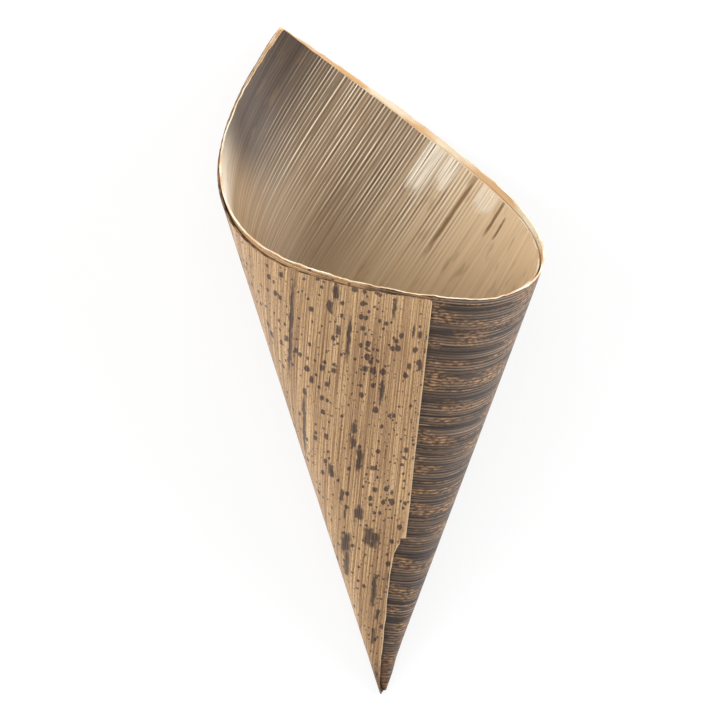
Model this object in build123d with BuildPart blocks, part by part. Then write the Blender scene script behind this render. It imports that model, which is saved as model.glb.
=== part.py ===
from build123d import *
import os
from math import atan2, ceil, cos, degrees, hypot, radians, sin, tan

# Food cone of bamboo culm sheath. One dry sheet of sheath, nearly twice as long as it is
# broad, is rolled about two full turns round the middle of its long lower edge, and that
# middle becomes the point of the cone. The two cut ends and the bowed upper edge come
# together as a doubled, slanting rim with one high corner. Millimetres and degrees.

# The flat sheet. Its grain runs along X, from the inner end to the outer end, and the
# middle of its lower edge is at zero. Both ends lean outwards, away from the point.
sheath_thickness = 0.5
outer_reach = 127.5
inner_reach = 122.2
sheet_breadth = 127.0
upper_edge_bow = 5.8
outer_end_lean = 3.4
inner_end_lean = 3.3

# The flap, which is the loose outer end. Its free edge lies a little beyond the point of
# the cone. From a step down to the point a narrow strip has split off along the grain.
flap_width = 2.1
flap_taper = 0.3
step_reach = 51.0
split_line = 1.4

# The roll. It is an oval cone that goes on from turn to turn, with two nearly flat and two
# tight stretches to a turn. Each stretch is part of a round cone. After each stretch the
# sheet has slid a little deeper into the cone, which leaves the thin gap between turns.
long_half_angle = 17.6
short_half_angle = 12.3
tight_half_angle = 11.5
seam_turn = 8.9
slide = 0.78
point_hole = 0.1

# The cone lies on a flat stretch, this many degrees round from the middle of it. There it
# has a narrow flat spot, pressed this deep, so that it doesn't rock.
lying_turn = -7.2
flat_spot = 0.08

# Longest arc that is cut to the outline of the sheet in one go.
longest_arc = 30.0


def halving(is_past, low, high):
    """Value between low and high at which is_past turns true."""
    while high - low > 1e-9:
        middle = (low + high) / 2
        if is_past(middle):
            high = middle
        else:
            low = middle
    return (low + high) / 2


def outer_end(y):
    """Where the outer cut end lies at a height of the flat sheet."""
    return outer_reach + y * tan(radians(outer_end_lean))


def inner_end(y):
    """Where the inner cut end lies at a height of the flat sheet."""
    return -inner_reach - y * tan(radians(inner_end_lean))


def upper_edge(x):
    """Where the bowed long edge lies."""
    return sheet_breadth - upper_edge_bow * (x / outer_reach) ** 2


def is_off_sheet(x, y):
    """Whether a place lies beyond the two ends or the upper edge."""
    return x > outer_end(y) or x < inner_end(y) or y > upper_edge(x)


def rim_reach(foot, angle):
    """Distance from the foot of a straight line of the cone to the outline of the sheet."""
    x_share = cos(angle)
    y_share = sin(angle)
    return halving(lambda r: is_off_sheet(foot.X + r * x_share, foot.Y + r * y_share), 0, 250)


def start_reach(foot, angle):
    """Distance from that foot to where the sheet begins, past the lost strip."""
    clear = (sheath_thickness / 2 + point_hole) / sin(radians(tight_half_angle))
    if split_line > foot.Y:
        return max(clear, (split_line - foot.Y) / sin(angle))
    return clear


def centre_line(section, half_angle):
    """Centre line of a round stretch, from the mouth to the point."""
    inward = section.x_dir.rotate(Axis((0, 0, 0), section.z_dir), half_angle)
    return Axis(section.origin, -inward)


def carried(section, half_angle, turned):
    """Section plane of the roll after it has turned about the centre line."""
    line = centre_line(section, half_angle)
    along = section.x_dir.rotate(line, turned)
    across = section.z_dir.rotate(line, turned)
    return Plane(section.origin, x_dir=along, z_dir=across)


def edge_plane(first, last, middle):
    """Plane through two points of an edge, square to the sheet, that faces off the point."""
    chord = last - first
    outward = middle.x_dir.cross(middle.z_dir)
    return Plane(first, x_dir=chord, z_dir=chord.cross(outward))


def stretch(section, half_angle, turned, start, rims):
    """Part of the rolled sheet between two straight lines of the cone. The thin section is
    an eighth too long. It turns about the centre line, and a wedge takes off the rest."""
    past_rim = max(rims) / 8
    raw_length = max(rims) + past_rim - start
    with BuildPart() as sheet:
        with BuildSketch(section):
            with Locations((start, 0)):
                Rectangle(raw_length, sheath_thickness, align=(Align.MIN, Align.CENTER))
        revolve(axis=centre_line(section, half_angle), revolution_arc=turned)
        for plane, rim in zip((section, carried(section, half_angle, turned)), rims):
            with BuildSketch(plane):
                with Locations((rim, 0)):
                    Rectangle(raw_length, past_rim, align=(Align.MIN, Align.CENTER))
        loft(ruled=True, mode=Mode.SUBTRACT)
    return sheet.part


# Half angle of the flat stretches. Flat and tight stretches meet without a kink when the
# centre lines of both lie in one plane with the straight line that they share.
tight_offset = radians(long_half_angle - tight_half_angle)
flat_half_angle = halving(
    lambda a: cos(radians(a - tight_half_angle))
    < cos(tight_offset) * cos(radians(a - short_half_angle)),
    long_half_angle,
    89,
)
flat_offset = radians(flat_half_angle - short_half_angle)
flat_arc = 2 * degrees(atan2(tan(tight_offset), sin(flat_offset)))
tight_arc = 2 * degrees(atan2(tan(flat_offset), sin(tight_offset)))

# The two upper corners of the flat sheet.
high_corner_y = halving(lambda y: y > upper_edge(outer_end(y)), 0, 2 * sheet_breadth)
high_corner = Vector(outer_end(high_corner_y), high_corner_y)
inner_corner_y = halving(lambda y: y > upper_edge(inner_end(y)), 0, 2 * sheet_breadth)
inner_corner = Vector(inner_end(inner_corner_y), inner_corner_y)

# The middle of the first flat stretch is on top, and the cone points along -Y.
top_line = Vector(0, cos(radians(short_half_angle)), sin(radians(short_half_angle)))
top_middle = Plane((0, 0, 0), x_dir=top_line, z_dir=(-1, 0, 0))
flat_rate = sin(radians(flat_half_angle))
first_foot = Vector(0, 0)

# The flap, from its free edge to the line on which the lost strip ends.
step_drop = flap_width - (outer_reach - step_reach) * tan(radians(flap_taper))
step_angle = atan2(-step_drop, step_reach)
flap_angle = atan2(-flap_width, outer_end(-flap_width))
split_angle = atan2(split_line, step_reach)
free_line = carried(top_middle, flat_half_angle, degrees(step_angle) / flat_rate - seam_turn)
corner_line = carried(free_line, flat_half_angle, degrees(flap_angle - step_angle) / flat_rate)
flap_arc = degrees(split_angle - step_angle) / flat_rate
flap_rims = (rim_reach(first_foot, step_angle), rim_reach(first_foot, split_angle))
step_point = free_line.origin + free_line.x_dir * hypot(step_reach, step_drop)
flap_corner = corner_line.origin + corner_line.x_dir * rim_reach(first_foot, flap_angle)

with BuildPart() as flap:
    add(stretch(free_line, flat_half_angle, flap_arc, step_reach, flap_rims))
    split(bisect_by=edge_plane(step_point, flap_corner, free_line), keep=Keep.BOTTOM)

# The rest of the first flat stretch, from which the strip is lost.
split_section = carried(free_line, flat_half_angle, flap_arc)
seam_arc = seam_turn + flat_arc / 2 - degrees(split_angle) / flat_rate
seam_end = split_angle + radians(seam_arc) * flat_rate
section = carried(split_section, flat_half_angle, seam_arc)
seam_rims = (rim_reach(first_foot, split_angle), rim_reach(first_foot, seam_end))
seam_start = start_reach(first_foot, seam_end)
split_point = split_section.origin + split_section.x_dir * start_reach(first_foot, split_angle)
seam_point = section.origin + section.x_dir * seam_start
seam_middle = carried(split_section, flat_half_angle, seam_arc / 2)

with BuildPart() as seam_stretch:
    add(stretch(split_section, flat_half_angle, seam_arc, seam_start, seam_rims))
    split(bisect_by=edge_plane(split_point, seam_point, seam_middle), keep=Keep.TOP)

# The other stretches, up to the end of the sheet. One that is long or holds a corner is
# made in parts. The foot is the point of the cone as it moves over the flat sheet.
pieces = [flap.part, seam_stretch.part]
angle = seam_end
foot = first_foot
is_flat = False
while degrees(angle) < 179.9:
    slid = section.origin + section.x_dir * slide
    section = Plane(slid, x_dir=section.x_dir, z_dir=section.z_dir)
    foot = foot + Vector(cos(angle), sin(angle)) * slide
    half_angle = flat_half_angle if is_flat else tight_half_angle
    arc = flat_arc if is_flat else tight_arc
    rate = sin(radians(half_angle))
    end = min(angle + radians(arc) * rate, radians(180))
    corners = [atan2(c.Y - foot.Y, c.X - foot.X) for c in (high_corner, inner_corner)]
    for stop in [c for c in corners if angle + 0.01 < c < end - 0.01] + [end]:
        parts = ceil(degrees(stop - angle) / rate / longest_arc)
        step = (stop - angle) / parts
        turned = degrees(step) / rate
        for part in range(parts):
            start = start_reach(foot, angle + step / 2)
            rims = (rim_reach(foot, angle), rim_reach(foot, angle + step))
            pieces.append(stretch(section, half_angle, turned, start, rims))
            section = carried(section, half_angle, turned)
            angle += step
    is_flat = not is_flat

with BuildPart() as rolled_sheath:
    add(pieces, clean=False)

# The cone as it comes to rest on its under side.
under_line = Vector(0, cos(radians(short_half_angle)), -sin(radians(short_half_angle)))
under_middle = Plane((0, 0, 0), x_dir=under_line, z_dir=(1, 0, 0))
lying = carried(under_middle, flat_half_angle, lying_turn)
floor_plane = Plane((0, 0, 0), x_dir=lying.z_dir, z_dir=lying.y_dir)
resting = floor_plane.to_local_coords(rolled_sheath.part)
box = resting.bounding_box()
middle_of_base = Vector(box.center().X, box.center().Y, box.min.Z + flat_spot)

with BuildPart() as food_cone:
    add(resting.moved(Location(-middle_of_base)), clean=False)
    split(bisect_by=Plane.XY, keep=Keep.TOP)

food_cone.part.label = "food_cone"
os.makedirs("parts", exist_ok=True)
export_step(food_cone.part, "parts/food_cone.step")
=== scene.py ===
from math import atan2, cos, pi, radians, sin, tan
import bpy
from mathutils import Matrix, Vector, noise


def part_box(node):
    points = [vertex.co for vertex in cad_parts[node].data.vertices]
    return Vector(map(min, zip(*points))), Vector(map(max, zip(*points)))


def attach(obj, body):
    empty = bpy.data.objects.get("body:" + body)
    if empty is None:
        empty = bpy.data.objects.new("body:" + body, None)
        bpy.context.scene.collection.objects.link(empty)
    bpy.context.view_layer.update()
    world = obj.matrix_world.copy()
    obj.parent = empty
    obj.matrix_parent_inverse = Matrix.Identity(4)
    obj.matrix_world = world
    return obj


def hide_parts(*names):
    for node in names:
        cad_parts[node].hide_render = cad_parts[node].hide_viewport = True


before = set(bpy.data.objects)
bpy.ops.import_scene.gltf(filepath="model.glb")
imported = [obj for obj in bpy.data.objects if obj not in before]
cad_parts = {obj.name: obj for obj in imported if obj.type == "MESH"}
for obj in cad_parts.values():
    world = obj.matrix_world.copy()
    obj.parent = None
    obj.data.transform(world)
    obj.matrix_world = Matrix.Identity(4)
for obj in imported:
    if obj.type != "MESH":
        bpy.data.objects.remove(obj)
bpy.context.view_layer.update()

# The rolled sheath is the whole cone: one dry sheet of bamboo culm sheath, rolled about two
# full turns round the middle of its long lower edge. It is laid out flat first, cut to its
# outline, and then rolled stretch by stretch, as in the solid it stands for. Millimetres.
MM = 0.001
THICKNESS = 0.5
OUTER_REACH = 127.5
INNER_REACH = 122.2
SHEET_BREADTH = 127.0
UPPER_EDGE_BOW = 5.8
OUTER_END_LEAN = radians(3.4)
INNER_END_LEAN = radians(3.3)

# The flap's free edge, and the torn edge from a step in it down to the point of the cone,
# where a narrow strip has split off. The torn edge starts with a ragged slope.
FREE_EDGE = -2.1
FREE_EDGE_TAPER = radians(0.3)
FLAP_CORNER = 0.7
STEP_REACH = 52.4
TEAR_LINE = 1.4
TEAR_POINTS = [(52.4, -0.25), (50.6, -0.24), (49.3, 0.3), (47.3, 0.95), (43.9, 1.2), (40.6, 1.4)]

# What the fraying has taken off the upper edge and the outer end on average.
UPPER_EDGE_LOSS = 0.2
OUTER_END_LOSS = 0.1

# The roll, with two nearly flat and two tight stretches to a turn.
LONG_HALF_ANGLE = radians(17.6)
SHORT_HALF_ANGLE = radians(12.3)
TIGHT_HALF_ANGLE = radians(11.5)
SEAM_TURN = radians(8.9)
SLIDE = 0.78
POINT_HOLE = 0.1
LAST_ANGLE = radians(180)


def halving(is_past, low, high):
    """Value between low and high at which is_past turns true."""
    while high - low > 1e-9:
        middle = (low + high) / 2
        if is_past(middle):
            high = middle
        else:
            low = middle
    return (low + high) / 2


def wave(place, seed, length):
    """Smooth noise from about -1 to 1 along an edge of the flat sheet."""
    return noise.noise(Vector((place / length, 0, seed)))


def lower_edge(x):
    """Where the lower long edge lies: the free edge of the flap, the step and the torn edge."""
    if x > STEP_REACH:
        return FREE_EDGE + (OUTER_REACH - x) * tan(FREE_EDGE_TAPER) + 0.12 * wave(x, 3.1, 14)
    torn = TEAR_LINE + 0.2 * wave(x, 5.7, 5) + 0.12 * wave(x, 6.3, 1.6)
    for (x1, y1), (x2, y2) in zip(TEAR_POINTS, TEAR_POINTS[1:]):
        if x > x2:
            return y1 + (y2 - y1) * (x1 - x) / (x1 - x2) + 0.1 * wave(x, 6.3, 1.6)
    return torn


def upper_edge(x):
    """Where the bowed long edge lies, after the fraying has taken a little off it."""
    frayed = 0.2 * wave(x, 8.9, 11) + 0.22 * wave(x, 4.4, 3.5) + 0.16 * wave(x, 9.4, 1.3)
    frayed -= UPPER_EDGE_LOSS
    return SHEET_BREADTH - UPPER_EDGE_BOW * (x / OUTER_REACH) ** 2 + frayed


def outer_end(y):
    """Where the outer cut end lies, which is rounded a little at the free edge."""
    rounding = FLAP_CORNER * max(0.0, 1 - (y - FREE_EDGE)) ** 2
    frayed = 0.15 * wave(y, 1.3, 9) + 0.1 * wave(y, 7.1, 1.5) - OUTER_END_LOSS
    return OUTER_REACH + y * tan(OUTER_END_LEAN) + frayed - rounding


def inner_end(y):
    """Where the inner cut end lies."""
    frayed = 0.15 * wave(y, 2.7, 9) + 0.1 * wave(y, 0.6, 1.5)
    return -INNER_REACH - y * tan(INNER_END_LEAN) + frayed


def from_cuts(x, y):
    """Distance in from the nearest of the two cut ends and the upper edge."""
    return min(outer_end(y) - x, x - inner_end(y), upper_edge(x) - y)


def is_off_sheet(x, y):
    """Whether a place lies beyond the cut ends, the upper edge or the free edge."""
    return from_cuts(x, y) < 0 or (x > STEP_REACH and y < lower_edge(x))


def carried(along, across, half_angle, turned):
    """The line along the sheet and the one across it, after a turn about a centre line."""
    inward = Matrix.Rotation(half_angle, 3, across) @ along
    turn = Matrix.Rotation(turned, 3, -inward)
    return turn @ along, turn @ across


tight_offset = LONG_HALF_ANGLE - TIGHT_HALF_ANGLE
flat_half_angle = halving(
    lambda a: cos(a - TIGHT_HALF_ANGLE) < cos(tight_offset) * cos(a - SHORT_HALF_ANGLE),
    LONG_HALF_ANGLE,
    radians(89),
)
flat_offset = flat_half_angle - SHORT_HALF_ANGLE
flat_arc = 2 * atan2(tan(tight_offset), sin(flat_offset))
tight_arc = 2 * atan2(tan(flat_offset), sin(tight_offset))

# Each stretch: the angles on the flat sheet where it starts and ends, its foot there, and
# its place, lines and half angle in the roll.
first_along = Vector((0, cos(SHORT_HALF_ANGLE), sin(SHORT_HALF_ANGLE)))
along, across = carried(first_along, Vector((-1, 0, 0)), flat_half_angle, -SEAM_TURN)
angle = 0.0
turned = SEAM_TURN + flat_arc / 2
foot = Vector((0, 0))
origin = Vector((0, 0, 0))
half_angle = flat_half_angle
stretches = []
while angle < LAST_ANGLE:
    end = angle + turned * sin(half_angle)
    stretches.append((angle, end, foot, origin, along, across, half_angle))
    along, across = carried(along, across, half_angle, turned)
    angle = end
    foot = foot + Vector((cos(angle), sin(angle))) * SLIDE
    origin = origin + along * SLIDE
    half_angle = TIGHT_HALF_ANGLE if half_angle == flat_half_angle else flat_half_angle
    turned = tight_arc if half_angle == TIGHT_HALF_ANGLE else flat_arc


def rolled(stretch, angle, reach):
    """Place in the roll of a point of the flat sheet, given by its angle and distance."""
    start = stretch[0]
    origin, along, across, half_angle = stretch[3:]
    line = carried(along, across, half_angle, (angle - start) / sin(half_angle))[0]
    return origin + line * reach


# The straight lines of the cone. They are close at the free edge, cross the torn edge at least
# every 0.6 mm, and are about a quarter of a degree apart in the rest. One lies at each upper
# corner of the sheet.
BORDER_STEP = radians(0.06)
TEAR_STEP = 0.6
TEAR_LINES = 80
LINE_STEP = radians(0.25)
first_angle = atan2(lower_edge(STEP_REACH + 0.01), STEP_REACH)
tear_angles = [atan2(TEAR_LINE, STEP_REACH - TEAR_STEP * number) for number in range(TEAR_LINES)]
corners = []
for end_at in (outer_end, inner_end):
    corner_y = halving(lambda y: y > upper_edge(end_at(y)), 0, 2 * SHEET_BREADTH)
    corners.append(Vector((end_at(corner_y), corner_y)))
lines = []
for stretch in stretches:
    start, end, foot = stretch[:3]
    borders = [start, min(end, LAST_ANGLE)]
    if stretch is stretches[0]:
        borders = [first_angle] + tear_angles + [end]
    for corner in corners:
        corner_angle = atan2(corner.y - foot.y, corner.x - foot.x)
        if borders[0] < corner_angle < borders[-1]:
            borders.append(corner_angle)
    borders.sort()
    for low, high in zip(borders, borders[1:]):
        count = max(1, round((high - low) / (BORDER_STEP if low == first_angle else LINE_STEP)))
        for number in range(count):
            lines.append((stretch, low + (high - low) * number / count))
lines.append((stretches[-1], LAST_ANGLE))

# On each line, the distances from its foot at which the sheet begins and ends. The first
# stretch begins at the lower edge, the second near the point, a little frayed, and the others
# close to their own foot. A line below FLAP_ANGLE can run off the free edge, so its end is
# sought from the step on.
CLEAR_REACH = (THICKNESS / 2 + POINT_HOLE) / sin(TIGHT_HALF_ANGLE)
LEAST_REACH = 0.4
FARTHEST_REACH = 250
POINT_FRAYING = 0.35
FLAP_START = 4.4
FLAP_ANGLE = radians(2)
reaches = []
for stretch, angle in lines:
    foot, origin = stretch[2:4]
    run = Vector((cos(angle), sin(angle)))
    least = STEP_REACH + 0.02 if angle < FLAP_ANGLE else SHEET_BREADTH / 2
    far = halving(
        lambda r: is_off_sheet(foot.x + r * run.x, foot.y + r * run.y), least, FARTHEST_REACH
    )
    frayed = POINT_FRAYING * abs(wave(angle, 2.9, 0.2))
    near = max(LEAST_REACH, CLEAR_REACH + frayed - origin.length)
    if stretch is stretches[0]:
        near = halving(lambda r: r * run.y > lower_edge(r * run.x), FLAP_START, far)
    reaches.append((near, far))

# A flat grid is the start. Each of its points gets its place in the roll, and two maps in
# metres: its place on the flat sheet, with the grain along the first axis, and its distance
# from the free or torn edge and from the nearest cut.
ROWS = 26
bpy.ops.object.select_all(action="DESELECT")
bpy.ops.mesh.primitive_grid_add(x_subdivisions=len(lines) - 1, y_subdivisions=ROWS - 1, size=1)
sheath = bpy.context.object
sheath.name = "rolled_sheath"
mesh = sheath.data
flat_places = []
for row in range(ROWS):
    for (stretch, angle), (near, far) in zip(lines, reaches):
        reach = near + (far - near) * row / (ROWS - 1)
        foot = stretch[2]
        mesh.vertices[len(flat_places)].co = rolled(stretch, angle, reach) * MM
        flat_places.append((foot.x + reach * cos(angle), foot.y + reach * sin(angle)))
mesh.uv_layers[0].name = "flat_sheet"
mesh.uv_layers.new(name="from_edges")
for loop in mesh.loops:
    x, y = flat_places[loop.vertex_index]
    from_edge = (y - lower_edge(x)) * MM
    mesh.uv_layers["flat_sheet"].data[loop.index].uv = (x * MM, y * MM)
    mesh.uv_layers["from_edges"].data[loop.index].uv = (from_edge, from_cuts(x, y) * MM)
bpy.ops.object.mode_set(mode="EDIT")
bpy.ops.mesh.select_all(action="SELECT")
bpy.ops.mesh.remove_doubles(threshold=0.01 * MM)
bpy.ops.mesh.flip_normals()
bpy.ops.object.mode_set(mode="OBJECT")


def linear(colour):
    """Linear colour, with alpha, of an sRGB hex value."""
    parts = [int(colour[i:i + 2], 16) / 255 for i in (1, 3, 5)]
    return [c / 12.92 if c <= 0.04045 else ((c + 0.055) / 1.055) ** 2.4 for c in parts] + [1]


def add_node(material, kind, inputs, **settings):
    """Adds a node with its settings. Each input is set, or linked to a socket or to a node."""
    made = material.node_tree.nodes.new(kind)
    for name, value in settings.items():
        setattr(made, name, value)
    for name, value in inputs.items():
        if isinstance(value, bpy.types.Node):
            value = next(output for output in value.outputs if output.enabled)
        if isinstance(value, bpy.types.NodeSocket):
            material.node_tree.links.new(value, made.inputs[name])
        else:
            made.inputs[name].default_value = value
    return made


def per_mm(along, across):
    """Scale of a pattern on the sheet's map, from its size in mm along and across the grain."""
    return (1 / (along * MM), 1 / (across * MM), 1)


def fibres(material, place, along, across, low, high, detail=3.0, shift=0.0):
    """Uneven fibres of a size in mm, spread to run from 0 at low to 1 at high."""
    at = add_node(
        material, "ShaderNodeMapping",
        {"Vector": place, "Scale": per_mm(along, across), "Location": (shift, shift, 0)},
    )
    cloud = add_node(
        material, "ShaderNodeTexNoise", {"Vector": at, "Scale": 1.0, "Detail": detail},
        noise_dimensions="2D",
    )
    return add_node(
        material, "ShaderNodeMapRange", {"Value": cloud, "From Min": low, "From Max": high}
    )


def bent_place(material, place, scale, along, across):
    """The place on the sheet, shifted unevenly by up to a size in mm, for ragged outlines."""
    uneven = add_node(
        material, "ShaderNodeTexNoise", {"Vector": place, "Scale": scale, "Detail": 2.0},
        noise_dimensions="2D",
    )
    centred = add_node(
        material, "ShaderNodeVectorMath", {0: uneven.outputs[1], 1: (0.5, 0.5, 0.5)},
        operation="SUBTRACT",
    )
    return add_node(
        material, "ShaderNodeVectorMath",
        {0: centred, 1: (2 * along * MM, 2 * across * MM, 0), 2: place}, operation="MULTIPLY_ADD",
    )


def marks(material, place, listed):
    """Share of blunt marks: the middle of each, its half length and its half breadth in mm."""
    share = 0.0
    for x, y, half_length, half_breadth in listed:
        at = add_node(
            material, "ShaderNodeMapping",
            {"Vector": place, "Scale": per_mm(half_length, half_breadth),
             "Location": (-x / half_length, -y / half_breadth, 0)},
        )
        squared = add_node(material, "ShaderNodeVectorMath", {0: at, 1: at}, operation="MULTIPLY")
        far = add_node(material, "ShaderNodeVectorMath", {0: squared}, operation="LENGTH")
        mark = add_node(
            material, "ShaderNodeMapRange", {"Value": far, "From Min": 1.7, "From Max": 0.5}
        )
        share = add_node(material, "ShaderNodeMath", {0: share, 1: mark}, operation="MAXIMUM")
    return share


# The outer skin of a dry culm sheath: fine ribs along the grain, tan, with round dark spots
# near its ends and nearly black, worn bands over its middle. Both have a dull gloss.
skin = bpy.data.materials.new("culm_sheath_outer_skin")
skin.use_nodes = True
skin_place = add_node(skin, "ShaderNodeUVMap", {}, uv_map="flat_sheet")
skin_axes = add_node(skin, "ShaderNodeSeparateXYZ", {0: skin_place})
skin_turn = add_node(
    skin, "ShaderNodeMath", {0: skin_axes.outputs[1], 1: skin_axes.outputs[0]}, operation="ARCTAN2"
)


def spots(along, across, rarity, growth, softness):
    """Random spots on the skin: at most one in each cell of a size in mm, fewer if rarer."""
    bent = bent_place(skin, skin_place, 900.0, 0.3, 0.3)
    at = add_node(skin, "ShaderNodeMapping", {"Vector": bent, "Scale": per_mm(along, across)})
    cells = add_node(
        skin, "ShaderNodeTexVoronoi", {"Vector": at, "Scale": 1.0}, voronoi_dimensions="2D"
    )
    chance = add_node(skin, "ShaderNodeSeparateColor", {0: cells.outputs["Color"]})
    crowd = fibres(skin, skin_place, 30, 12, 0.3, 0.7, detail=1.0, shift=along)
    grown = add_node(
        skin, "ShaderNodeMath", {0: crowd, 1: 0.35, 2: chance}, operation="MULTIPLY_ADD"
    )
    size = add_node(
        skin, "ShaderNodeMapRange",
        {"Value": grown, "From Min": rarity, "From Max": 1.35, "To Max": growth},
    )
    depth = add_node(
        skin, "ShaderNodeMath", {0: size, 1: cells.outputs["Distance"]}, operation="SUBTRACT"
    )
    return add_node(
        skin, "ShaderNodeMapRange",
        {"Value": depth, "From Min": -softness / 2, "From Max": softness / 2},
        interpolation_type="SMOOTHSTEP",
    )


# Ribs as thin dark furrows, with finer fibres and a grit of tiny pores between them. The real
# ribs are about 0.6 mm apart, and are drawn a little coarser so that they show. A wave texture
# of this scale repeats once in each unit.
RIB_PITCH = 0.85
WAVE_PERIOD = 2 * pi / 20
rib_place = add_node(
    skin, "ShaderNodeMapping", {"Vector": skin_place, "Scale": per_mm(30, RIB_PITCH)}
)
rib_wave = add_node(
    skin, "ShaderNodeTexWave",
    {"Vector": rib_place, "Scale": WAVE_PERIOD, "Distortion": 2.5, "Detail": 2.0,
     "Detail Scale": 1.5},
    bands_direction="Y",
)
furrows = add_node(
    skin, "ShaderNodeMapRange",
    {"Value": rib_wave.outputs[1], "From Min": 0.35, "From Max": 0.02, "To Max": 0.4},
)
fine_fibres = fibres(skin, skin_place, 30, 0.27, 0.34, 0.66)
broad_tones = fibres(skin, skin_place, 60, 1.7, 0.3, 0.62)
pores = fibres(skin, skin_place, 1.0, 0.35, 0.5, 0.7, detail=2.0)
pale_tan = add_node(
    skin, "ShaderNodeMix", {0: fine_fibres, 6: linear("#a67f59"), 7: linear("#e6c190")},
    data_type="RGBA",
)
deep_tan = add_node(
    skin, "ShaderNodeMix", {0: fine_fibres, 6: linear("#7d5c3f"), 7: linear("#c39c70")},
    data_type="RGBA",
)
toned_tan = add_node(
    skin, "ShaderNodeMix", {0: broad_tones, 6: deep_tan, 7: pale_tan}, data_type="RGBA"
)
furrowed = add_node(
    skin, "ShaderNodeMix", {0: furrows, 6: toned_tan, 7: linear("#73523a")}, data_type="RGBA"
)
pore_share = add_node(skin, "ShaderNodeMath", {0: pores, 1: 0.45}, operation="MULTIPLY")
tan_skin = add_node(
    skin, "ShaderNodeMix", {0: pore_share, 6: furrowed, 7: linear("#7a5940")}, data_type="RGBA"
)

# Dark marks larger than the spots, and then the largest spots: middle on the sheet, half
# length and half breadth in mm. The smaller spots are strewn at random.
SKIN_MARKS = [
    (110.5, 34.0, 15.5, 0.55),
    (81.0, 28.8, 10.0, 0.55),
    (124.0, 7.3, 2.8, 0.45),
    (126.3, 22.6, 2.2, 0.8),
    (121.4, 23.7, 1.8, 0.7),
    (113.9, 21.2, 1.3, 0.7),
    (112.7, 18.1, 6.2, 0.45),
    (98.0, 8.4, 3.6, 0.5),
    (75.9, 12.4, 3.2, 0.8),
    (85.1, 14.4, 1.6, 0.8),
    (80.4, 14.4, 1.6, 0.7),
    (70.0, 19.5, 1.5, 0.8),
    (62.5, 16.1, 2.3, 0.5),
    (58.2, 11.2, 2.2, 1.35),
    (51.7, 7.2, 2.4, 1.9),
    (47.5, 13.9, 3.2, 1.3),
    (40.5, 13.2, 4.0, 0.8),
    (34.5, 5.2, 4.0, 0.6),
    (27.5, 3.6, 1.6, 0.5),
    (20.0, 4.2, 2.0, 0.5),
]
LARGEST_SPOTS = [
    (118.9, 28.6, 0.75, 0.65),
    (96.8, 26.9, 1.1, 0.6),
    (101.6, 24.3, 0.8, 0.65),
    (96.8, 22.7, 0.75, 0.6),
    (92.1, 23.7, 0.7, 0.55),
    (101.6, 21.2, 0.75, 0.65),
    (104.1, 13.2, 0.85, 0.75),
    (104.1, 11.2, 0.8, 0.7),
    (106.5, 12.0, 0.65, 0.6),
    (116.4, 14.8, 0.7, 0.6),
    (118.9, 9.0, 0.6, 0.55),
    (113.9, 6.0, 0.65, 0.6),
    (106.5, 2.1, 0.9, 0.5),
    (106.5, -0.7, 0.9, 0.5),
    (116.4, 0.2, 1.1, 0.55),
    (80.4, 0.6, 0.8, 0.6),
    (80.4, 21.7, 0.7, 0.55),
    (78.2, 24.8, 0.8, 0.55),
    (73.6, 8.7, 0.7, 0.65),
    (66.9, 7.6, 0.7, 0.65),
    (106.5, 35.1, 0.9, 0.65),
    (104.1, 32.0, 0.8, 0.6),
    (126.5, 37.6, 0.8, 0.6),
    (118.9, 37.6, 0.75, 0.55),
    (106.5, 42.2, 0.75, 0.7),
    (104.1, 40.9, 0.9, 0.7),
]
ragged_place = bent_place(skin, skin_place, 420.0, 2.6, 0.55)
spotted = add_node(
    skin, "ShaderNodeMath",
    {0: marks(skin, ragged_place, SKIN_MARKS), 1: marks(skin, skin_place, LARGEST_SPOTS)},
    operation="MAXIMUM",
)
# Each kind of smaller spot: length and breadth of its cells in mm, rarity, growth, softness.
STREWN_SPOTS = [
    (4.0, 2.9, 0.62, 0.3, 0.07),
    (2.3, 1.9, 0.72, 0.3, 0.1),
    (1.25, 1.05, 0.85, 0.3, 0.14),
    (20.0, 2.4, 1.08, 0.34, 0.1),
]
for kind in STREWN_SPOTS:
    spotted = add_node(skin, "ShaderNodeMath", {0: spotted, 1: spots(*kind)}, operation="MAXIMUM")
spot_tone = add_node(
    skin, "ShaderNodeMix",
    {0: fine_fibres, 6: linear("#35261e"), 7: linear("#604a3e")}, data_type="RGBA",
)
spot_share = add_node(skin, "ShaderNodeMath", {0: spotted, 1: 0.93}, operation="MULTIPLY")
spotted_skin = add_node(
    skin, "ShaderNodeMix", {0: spot_share, 6: tan_skin, 7: spot_tone}, data_type="RGBA"
)

# The dark bands lie over the middle of the sheet, between two lines from the point: black and
# grey-brown stripes, worn through to orange-brown in speckled patches and along single ribs.
stripes = fibres(skin, skin_place, 50, 0.62, 0.36, 0.64, shift=3.0)
wide_stripes = fibres(skin, skin_place, 60, 2.6, 0.35, 0.65, detail=2.0, shift=5.0)
black_stripe = add_node(
    skin, "ShaderNodeMix", {0: stripes, 6: linear("#1f1611"), 7: linear("#5c483a")},
    data_type="RGBA",
)
grey_stripe = add_node(
    skin, "ShaderNodeMix", {0: stripes, 6: linear("#33261d"), 7: linear("#957b65")},
    data_type="RGBA",
)
striped = add_node(
    skin, "ShaderNodeMix", {0: wide_stripes, 6: black_stripe, 7: grey_stripe}, data_type="RGBA"
)
black_furrows = add_node(
    skin, "ShaderNodeMapRange",
    {"Value": rib_wave.outputs[1], "From Min": 0.5, "From Max": 0.15, "To Max": 0.75},
)
dark_bands = add_node(
    skin, "ShaderNodeMix", {0: black_furrows, 6: striped, 7: linear("#17100c")}, data_type="RGBA"
)
grit = fibres(skin, skin_place, 1.5, 0.6, 0.36, 0.66, detail=2.0, shift=2.0)
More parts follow.
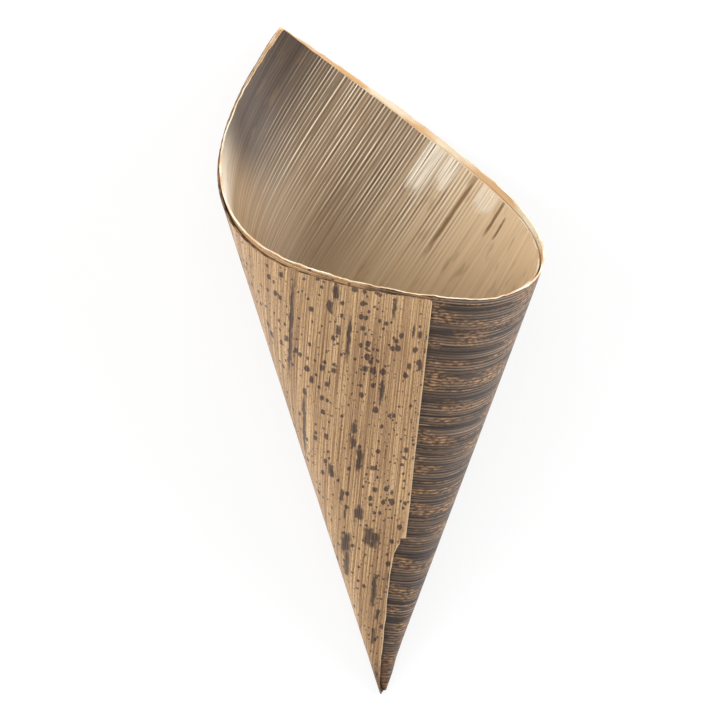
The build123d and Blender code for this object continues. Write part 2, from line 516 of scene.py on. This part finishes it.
grit_tone = add_node(
    skin, "ShaderNodeMix", {0: grit, 6: linear("#432f21"), 7: linear("#b68c63")}, data_type="RGBA"
)
worn = add_node(
    skin, "ShaderNodeMix", {0: black_furrows, 6: grit_tone, 7: linear("#3a281c")},
    data_type="RGBA",
)
worn_patches = fibres(skin, skin_place, 16, 4.5, 0.48, 0.62, shift=7.0)
worn_ribs = fibres(skin, skin_place, 24, 0.5, 0.6, 0.7, detail=2.0, shift=9.0)
most_worn = add_node(
    skin, "ShaderNodeMath", {0: worn_patches, 1: worn_ribs}, operation="MAXIMUM"
)
worn_share = add_node(skin, "ShaderNodeMath", {0: most_worn, 1: 0.85}, operation="MULTIPLY")
dark_skin = add_node(
    skin, "ShaderNodeMix", {0: worn_share, 6: dark_bands, 7: worn}, data_type="RGBA"
)
uneven_turn = add_node(
    skin, "ShaderNodeMath",
    {0: fibres(skin, skin_place, 12, 2, 0.3, 0.7), 1: radians(9), 2: skin_turn},
    operation="MULTIPLY_ADD",
)
dark_from = add_node(
    skin, "ShaderNodeMapRange",
    {"Value": uneven_turn, "From Min": radians(52), "From Max": radians(64)},
    interpolation_type="SMOOTHSTEP",
)
dark_to = add_node(
    skin, "ShaderNodeMapRange",
    {"Value": uneven_turn, "From Min": radians(110), "From Max": radians(103)},
    interpolation_type="SMOOTHSTEP",
)
dark_share = add_node(skin, "ShaderNodeMath", {0: dark_from, 1: dark_to}, operation="MULTIPLY")
banded_skin = add_node(
    skin, "ShaderNodeMix", {0: dark_share, 6: spotted_skin, 7: dark_skin}, data_type="RGBA"
)

# The free and the torn edge have lost their skin in a fine cream line. The very point is
# bruised brown.
skin_edges = add_node(
    skin, "ShaderNodeSeparateXYZ", {0: add_node(skin, "ShaderNodeUVMap", {}, uv_map="from_edges")}
)
bare_line = add_node(
    skin, "ShaderNodeMapRange",
    {"Value": skin_edges, "From Min": 0.4 * MM, "From Max": 0.2 * MM, "To Max": 0.75},
)
edged_skin = add_node(
    skin, "ShaderNodeMix", {0: bare_line, 6: banded_skin, 7: linear("#dcc199")}, data_type="RGBA"
)
from_point = add_node(skin, "ShaderNodeVectorMath", {0: skin_place}, operation="LENGTH")
bruised = add_node(
    skin, "ShaderNodeMapRange",
    {"Value": from_point, "From Min": 14 * MM, "From Max": 6 * MM, "To Max": 0.9},
)
bruise = add_node(
    skin, "ShaderNodeMix", {0: grit, 6: linear("#2d2019"), 7: linear("#8d6341")}, data_type="RGBA"
)
skin_colour = add_node(
    skin, "ShaderNodeMix", {0: bruised, 6: edged_skin, 7: bruise}, data_type="RGBA"
)
ridges = add_node(
    skin, "ShaderNodeMath", {0: furrows, 1: -0.7, 2: fine_fibres}, operation="MULTIPLY_ADD"
)
relief = add_node(
    skin, "ShaderNodeBump", {"Strength": 1.0, "Distance": 0.06 * MM, "Height": ridges}
)
shader = skin.node_tree.nodes["Principled BSDF"]
shader.inputs["Roughness"].default_value = 0.45
skin.node_tree.links.new(skin_colour.outputs[2], shader.inputs["Base Color"])
skin.node_tree.links.new(relief.outputs[0], shader.inputs["Normal"])

# The inner face of the sheath is smooth, with long silky fibres and little gloss. It is pale
# along the lower edge of the sheet, and dark grey in the corner of its upper edge and inner
# end, partly its own colour and partly painted shade.
inner = bpy.data.materials.new("culm_sheath_inner_face")
inner.use_nodes = True
inner_place = add_node(inner, "ShaderNodeUVMap", {}, uv_map="flat_sheet")
inner_axes = add_node(inner, "ShaderNodeSeparateXYZ", {0: inner_place})
silk = fibres(inner, inner_place, 70, 0.5, 0.3, 0.7)
silky = add_node(
    inner, "ShaderNodeMix", {0: silk, 6: linear("#7c674f"), 7: linear("#9a8265")},
    data_type="RGBA",
)
# Painted shade: the dark grey in this corner is partly the sheath's own colour and partly shade
# painted in.
high_up = add_node(
    inner, "ShaderNodeMapRange",
    {"Value": inner_axes.outputs[1], "From Min": 92 * MM, "From Max": 116 * MM},
    interpolation_type="SMOOTHSTEP",
)
far_along = add_node(
    inner, "ShaderNodeMapRange",
    {"Value": inner_axes.outputs[0], "From Min": -84 * MM, "From Max": -100 * MM},
    interpolation_type="SMOOTHSTEP",
)
grey_and_shade_share = add_node(inner, "ShaderNodeMath", {0: high_up, 1: far_along}, operation="MULTIPLY")
grey_and_shade_tone = add_node(
    inner, "ShaderNodeMix", {0: silk, 6: linear("#3e3128"), 7: linear("#54463a")},
    data_type="RGBA",
)
greyed = add_node(
    inner, "ShaderNodeMix", {0: grey_and_shade_share, 6: silky, 7: grey_and_shade_tone}, data_type="RGBA"
)
beige_share = add_node(
    inner, "ShaderNodeMapRange",
    {"Value": inner_axes.outputs[1], "From Min": 84 * MM, "From Max": 52 * MM},
    interpolation_type="SMOOTHSTEP",
)
beige_part = add_node(
    inner, "ShaderNodeMix",
    {0: fibres(inner, inner_place, 60, 1.1, 0.3, 0.7), 6: linear("#d2b48c"), 7: linear("#e6cba6")},
    data_type="RGBA",
)
lower_toned = add_node(
    inner, "ShaderNodeMix", {0: beige_share, 6: greyed, 7: beige_part}, data_type="RGBA"
)

# Along the upper edge, where the inner turn stands steep on the flap's side, a pale band is a
# painted highlight, for the light that falls on this wall near the rim.
inner_edges = add_node(
    inner, "ShaderNodeSeparateXYZ", {0: add_node(inner, "ShaderNodeUVMap", {}, uv_map="from_edges")}
)
inner_turn = add_node(
    inner, "ShaderNodeMath", {0: inner_axes.outputs[1], 1: inner_axes.outputs[0]},
    operation="ARCTAN2",
)
near_rim = add_node(
    inner, "ShaderNodeMapRange",
    {"Value": inner_edges.outputs[1], "From Min": 11 * MM, "From Max": 2 * MM},
    interpolation_type="SMOOTHSTEP",
)
steep_side = add_node(
    inner, "ShaderNodeMapRange",
    {"Value": inner_turn, "From Min": radians(131), "From Max": radians(121)},
    interpolation_type="SMOOTHSTEP",
)
# Painted highlight: the pale band near the rim stands in for light on the steep wall.
painted_highlight_share = add_node(
    inner, "ShaderNodeMath", {0: near_rim, 1: steep_side}, operation="MULTIPLY"
)
toned = add_node(
    inner, "ShaderNodeMix", {0: painted_highlight_share, 6: lower_toned, 7: linear("#d8ccba")},
    data_type="RGBA",
)

# Near the inner end, above its smooth lower part, the fibres stand out as cords, a millimetre
# apart: thin dark furrows between ridges that are worn white.
CORD_PITCH = 1.0
cord_place = add_node(
    inner, "ShaderNodeMapping", {"Vector": inner_place, "Scale": per_mm(60, CORD_PITCH)}
)
cord_wave = add_node(
    inner, "ShaderNodeTexWave",
    {"Vector": cord_place, "Scale": WAVE_PERIOD, "Distortion": 5.0, "Detail": 3.0,
     "Detail Scale": 0.6},
    bands_direction="Y",
)
near_end = add_node(
    inner, "ShaderNodeMapRange",
    {"Value": inner_axes.outputs[0], "From Min": -84 * MM, "From Max": -112 * MM},
    interpolation_type="SMOOTHSTEP",
)
above_smooth = add_node(
    inner, "ShaderNodeMapRange",
    {"Value": inner_axes.outputs[1], "From Min": 47 * MM, "From Max": 62 * MM},
    interpolation_type="SMOOTHSTEP",
)
below_grey = add_node(
    inner, "ShaderNodeMapRange",
    {"Value": inner_axes.outputs[1], "From Min": 116 * MM, "From Max": 100 * MM},
    interpolation_type="SMOOTHSTEP",
)
corded_strip = add_node(
    inner, "ShaderNodeMath", {0: above_smooth, 1: below_grey}, operation="MULTIPLY"
)
corded_end = add_node(
    inner, "ShaderNodeMath", {0: corded_strip, 1: near_end}, operation="MULTIPLY"
)
uneven_cords = add_node(
    inner, "ShaderNodeMath", {0: corded_end, 1: fibres(inner, inner_place, 24, 1.3, 0.3, 0.7)},
    operation="MULTIPLY",
)
dark_furrow = add_node(
    inner, "ShaderNodeMapRange",
    {"Value": cord_wave.outputs[1], "From Min": 0.36, "From Max": 0.08},
)
white_ridge = add_node(
    inner, "ShaderNodeMapRange",
    {"Value": cord_wave.outputs[1], "From Min": 0.78, "From Max": 0.96},
)
furrow_share = add_node(
    inner, "ShaderNodeMath", {0: dark_furrow, 1: uneven_cords}, operation="MULTIPLY"
)
ridge_share = add_node(
    inner, "ShaderNodeMath", {0: white_ridge, 1: uneven_cords}, operation="MULTIPLY"
)
furrowed = add_node(
    inner, "ShaderNodeMix", {0: furrow_share, 6: toned, 7: linear("#584330")}, data_type="RGBA"
)
whitened = add_node(
    inner, "ShaderNodeMix", {0: ridge_share, 6: furrowed, 7: linear("#efe3cf")}, data_type="RGBA"
)

# Brown smudges, three brown lines and three strips of painted gloss, pale streaks that stand
# in for a highlight on the silk. The lines and strips are given as the marks on the skin are.
smudges = fibres(inner, inner_place, 9, 1.8, 0.6, 0.78, detail=2.0, shift=4.0)
smudge_share = add_node(inner, "ShaderNodeMath", {0: smudges, 1: 0.35}, operation="MULTIPLY")
smudged = add_node(
    inner, "ShaderNodeMix", {0: smudge_share, 6: whitened, 7: linear("#7c5f42")},
    data_type="RGBA",
)
BROWN_LINES = [(-114.0, 57.4, 11.5, 0.45), (-120.0, 47.3, 5.5, 0.4), (-118.0, 44.5, 3.0, 0.3)]
PAINTED_GLOSS_STRIPS = [(-121.0, 70.0, 7.5, 2.4), (-122.5, 64.5, 5.0, 2.0), (-123.0, 52.0, 4.0, 2.5)]
inner_bent = bent_place(inner, inner_place, 300.0, 2.0, 0.25)
browned = add_node(
    inner, "ShaderNodeMix",
    {0: marks(inner, inner_bent, BROWN_LINES), 6: smudged, 7: linear("#8c6d4c")},
    data_type="RGBA",
)
# Painted highlight: the three bright strips are gloss painted into the colour.
fine_silk = fibres(inner, inner_place, 40, 0.4, 0.38, 0.6, shift=6.0)
painted_gloss_share = add_node(
    inner, "ShaderNodeMath", {0: marks(inner, inner_bent, PAINTED_GLOSS_STRIPS), 1: fine_silk},
    operation="MULTIPLY",
)
gloss_painted = add_node(
    inner, "ShaderNodeMix", {0: painted_gloss_share, 6: browned, 7: linear("#f2e8d6")},
    data_type="RGBA",
)

# Along the upper edge of the outer turn the inner face is painted cream to orange, as painted
# light: the band lies in shade between the turns and is painted bright.
painted_light_border = add_node(
    inner, "ShaderNodeMapRange",
    {"Value": inner_edges.outputs[1], "From Min": 4 * MM, "From Max": 1.5 * MM},
)
outer_turn = add_node(
    inner, "ShaderNodeMapRange",
    {"Value": inner_turn, "From Min": radians(96), "From Max": radians(92)},
)
# Painted light: this band is brightened where it lies in shade between the turns.
border_share = add_node(
    inner, "ShaderNodeMath", {0: painted_light_border, 1: outer_turn}, operation="MULTIPLY"
)
border_tone = add_node(
    inner, "ShaderNodeMix",
    {0: fibres(inner, inner_place, 14, 5, 0.4, 0.6), 6: linear("#e6d6ba"), 7: linear("#d3ac7e")},
    data_type="RGBA",
)
bordered = add_node(
    inner, "ShaderNodeMix", {0: border_share, 6: gloss_painted, 7: border_tone}, data_type="RGBA"
)

# At the very point the inner face is bruised brown too, where it shows through the split.
inner_from_point = add_node(inner, "ShaderNodeVectorMath", {0: inner_place}, operation="LENGTH")
inner_bruised = add_node(
    inner, "ShaderNodeMapRange",
    {"Value": inner_from_point, "From Min": 14 * MM, "From Max": 6 * MM, "To Max": 0.9},
)
inner_colour = add_node(
    inner, "ShaderNodeMix", {0: inner_bruised, 6: bordered, 7: linear("#5a3e29")},
    data_type="RGBA",
)
silk_height = add_node(
    inner, "ShaderNodeMath", {0: furrow_share, 1: -1.5, 2: silk}, operation="MULTIPLY_ADD"
)
relief = add_node(
    inner, "ShaderNodeBump", {"Strength": 1.0, "Distance": 0.05 * MM, "Height": silk_height}
)
shader = inner.node_tree.nodes["Principled BSDF"]
shader.inputs["Roughness"].default_value = 0.5
shader.inputs["Specular IOR Level"].default_value = 0.25
inner.node_tree.links.new(inner_colour.outputs[2], shader.inputs["Base Color"])
inner.node_tree.links.new(relief.outputs[0], shader.inputs["Normal"])

# The cut and torn edges show the raw fibres, cream to orange. The end of the flap is painted
# dark brown as painted shade, for the shadow in the gap between the flap and the turn under it.
raw = bpy.data.materials.new("raw_fibre_edge_and_shade")
raw.use_nodes = True
raw_place = add_node(raw, "ShaderNodeUVMap", {}, uv_map="flat_sheet")
raw_axes = add_node(raw, "ShaderNodeSeparateXYZ", {0: raw_place})
raw_turn = add_node(
    raw, "ShaderNodeMath", {0: raw_axes.outputs[1], 1: raw_axes.outputs[0]}, operation="ARCTAN2"
)
raw_tone = add_node(
    raw, "ShaderNodeMix",
    {0: fibres(raw, raw_place, 7, 7, 0.4, 0.6), 6: linear("#eee0c8"), 7: linear("#d8b287")},
    data_type="RGBA",
)
# Painted shade: the flap's end is dark for the shadow in the gap beside it.
flap_end_shade_tone = add_node(
    raw, "ShaderNodeMix",
    {0: fibres(raw, raw_place, 3, 3, 0.35, 0.65), 6: linear("#3a281c"), 7: linear("#94704d")},
    data_type="RGBA",
)
flap_end_shade_share = add_node(
    raw, "ShaderNodeMapRange",
    {"Value": raw_turn, "From Min": radians(42), "From Max": radians(41)},
)
flap_or_not = add_node(
    raw, "ShaderNodeMix", {0: flap_end_shade_share, 6: raw_tone, 7: flap_end_shade_tone}, data_type="RGBA"
)
raw_from_point = add_node(raw, "ShaderNodeVectorMath", {0: raw_place}, operation="LENGTH")
raw_bruised = add_node(
    raw, "ShaderNodeMapRange",
    {"Value": raw_from_point, "From Min": 14 * MM, "From Max": 6 * MM, "To Max": 0.9},
)
raw_colour = add_node(
    raw, "ShaderNodeMix", {0: raw_bruised, 6: flap_or_not, 7: linear("#4a3323")},
    data_type="RGBA",
)
shader = raw.node_tree.nodes["Principled BSDF"]
shader.inputs["Roughness"].default_value = 0.7
raw.node_tree.links.new(raw_colour.outputs[2], shader.inputs["Base Color"])

# The sheet gets its thickness, half on each side, then lies down on a flat stretch of its
# under side, pressed flat there, in the box of the solid it stands for.
LYING_TURN = radians(-7.2)
FLAT_SPOT = 0.08
for material in (skin, inner, raw):
    mesh.materials.append(material)
solid = sheath.modifiers.new("thickness", "SOLIDIFY")
solid.thickness = THICKNESS * MM
solid.offset = 0
solid.material_offset = 1
solid.material_offset_rim = 2
bpy.ops.object.modifier_apply(modifier="thickness")
under_along = Vector((0, cos(SHORT_HALF_ANGLE), -sin(SHORT_HALF_ANGLE)))
lying_along, lying_across = carried(under_along, Vector((1, 0, 0)), flat_half_angle, LYING_TURN)
lay = Matrix((lying_across, lying_along, lying_across.cross(lying_along)))
for vertex in mesh.vertices:
    vertex.co = lay @ vertex.co
low = Vector([min(vertex.co[i] for vertex in mesh.vertices) for i in range(3)])
high = Vector([max(vertex.co[i] for vertex in mesh.vertices) for i in range(3)])
node_low, node_high = [Vector(corner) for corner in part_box("food_cone")]
shift = (node_low + node_high - low - high) / 2
shift.z = node_low.z - low.z - FLAT_SPOT * MM

# The point is crumpled: over its last stretch it is a little thicker and lumpy, and bulges to
# one side.
CRUMPLE_LENGTH = 14 * MM
CRUMPLE_RISE = 1.6
CRUMPLE_GROWTH = 0.35 * MM
CRUMPLE_BULGE = Vector((0.3, 0, 0)) * MM
LUMP_LENGTH = 2.5 * MM
LUMPINESS = 0.6
middle_line = lay @ Vector((0, 1, 0))
for vertex in mesh.vertices:
    share = min(1, CRUMPLE_RISE * (1 - min(1, vertex.co.length / CRUMPLE_LENGTH)))
    lumpy = 1 + LUMPINESS * noise.noise(vertex.co / LUMP_LENGTH)
    outward = (vertex.co - vertex.co.dot(middle_line) * middle_line).normalized()
    vertex.co += (outward * CRUMPLE_GROWTH + CRUMPLE_BULGE) * share * lumpy + shift
    vertex.co.z = max(vertex.co.z, node_low.z)
mesh.update()
bpy.ops.object.shade_smooth_by_angle(angle=radians(40))
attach(sheath, "root")
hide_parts("food_cone")

# The floor is a wide white board that catches the cone's soft shadow. To the camera, and in
# gloss, it is mostly a plain white, so the shadow is as faint as in the photo.
WHITE_SHARE = 0.8
bpy.ops.object.select_all(action="DESELECT")
bpy.ops.mesh.primitive_plane_add(size=6, location=(0, 0, 0))
floor = bpy.context.object
floor.name = "floor"
board = bpy.data.materials.new("white_board")
board.use_nodes = True
shader = board.node_tree.nodes["Principled BSDF"]
shader.inputs["Base Color"].default_value = linear("#f7f7f7")
shader.inputs["Roughness"].default_value = 0.9
shader.inputs["Specular IOR Level"].default_value = 0
plain_white = add_node(board, "ShaderNodeEmission", {"Color": (1, 1, 1, 1), "Strength": 1.0})
light_path = add_node(board, "ShaderNodeLightPath", {})
camera_or_gloss = add_node(
    board, "ShaderNodeMath",
    {0: light_path.outputs["Is Camera Ray"], 1: light_path.outputs["Is Glossy Ray"]},
)
any_of_three = add_node(
    board, "ShaderNodeMath", {0: camera_or_gloss, 1: light_path.outputs["Is Transmission Ray"]}
)
seen = add_node(board, "ShaderNodeMath", {0: any_of_three, 1: WHITE_SHARE}, operation="MULTIPLY")
surface = add_node(
    board, "ShaderNodeMixShader", {0: seen, 1: shader.outputs[0], 2: plain_white}
)
board.node_tree.links.new(
    surface.outputs[0], board.node_tree.nodes["Material Output"].inputs["Surface"]
)
floor.data.materials.append(board)

# Soft studio light: a wide overhead panel, one strong panel at each side of the cone, and a
# panel that shines into its mouth. Each has its place, turn, breadth and power, in metres,
# radians and watts.
PANELS = [
    ("overhead_panel", (0.0, 0.35, 1.0), (-0.33, 0.0, 0.0), 0.9, 2.2),
    ("left_panel", (-0.8, 0.1, 0.45), (0.0, -1.05, 0.0), 0.7, 6.5),
    ("right_panel", (0.85, 0.15, 0.28), (0.0, 1.25, 0.0), 0.6, 10.0),
    ("mouth_panel", (0.0, 1.0, 0.6), (-1.03, 0.0, 0.0), 0.7, 3.0),
]
for name, place, turned, size, power in PANELS:
    lamp = bpy.data.lights.new(name, "AREA")
    lamp.size = size
    lamp.energy = power
    holder = bpy.data.objects.new(name, lamp)
    holder.location = place
    holder.rotation_euler = turned
    bpy.context.collection.objects.link(holder)
world = bpy.data.worlds.new("studio")
world.use_nodes = True
world.node_tree.nodes["Background"].inputs["Color"].default_value = (1, 1, 1, 1)
world.node_tree.nodes["Background"].inputs["Strength"].default_value = 0.42
bpy.context.scene.world = world
bpy.context.scene.view_settings.view_transform = "Standard"

# The camera looks down on the lying cone with a long lens, from the side that the photo shows.
CAMERA_PLACE = Vector((6.479, 327.654, 1960.212)) * MM
LOOKS_AT = Vector((-6.6, 0.26, 0)) * MM
IMAGE_RIGHT = Vector((0.9996, -0.027, -0.002))
camera = bpy.data.objects.new("camera", bpy.data.cameras.new("camera"))
camera.data.lens = 380.228
camera.data.sensor_width = 36
camera.data.clip_end = 20
bpy.context.collection.objects.link(camera)
backward = (CAMERA_PLACE - LOOKS_AT).normalized()
upward = backward.cross(IMAGE_RIGHT).normalized()
axes = Matrix((upward.cross(backward), upward, backward)).transposed()
camera.matrix_world = Matrix.Translation(CAMERA_PLACE) @ axes.to_4x4()
bpy.context.scene.camera = camera
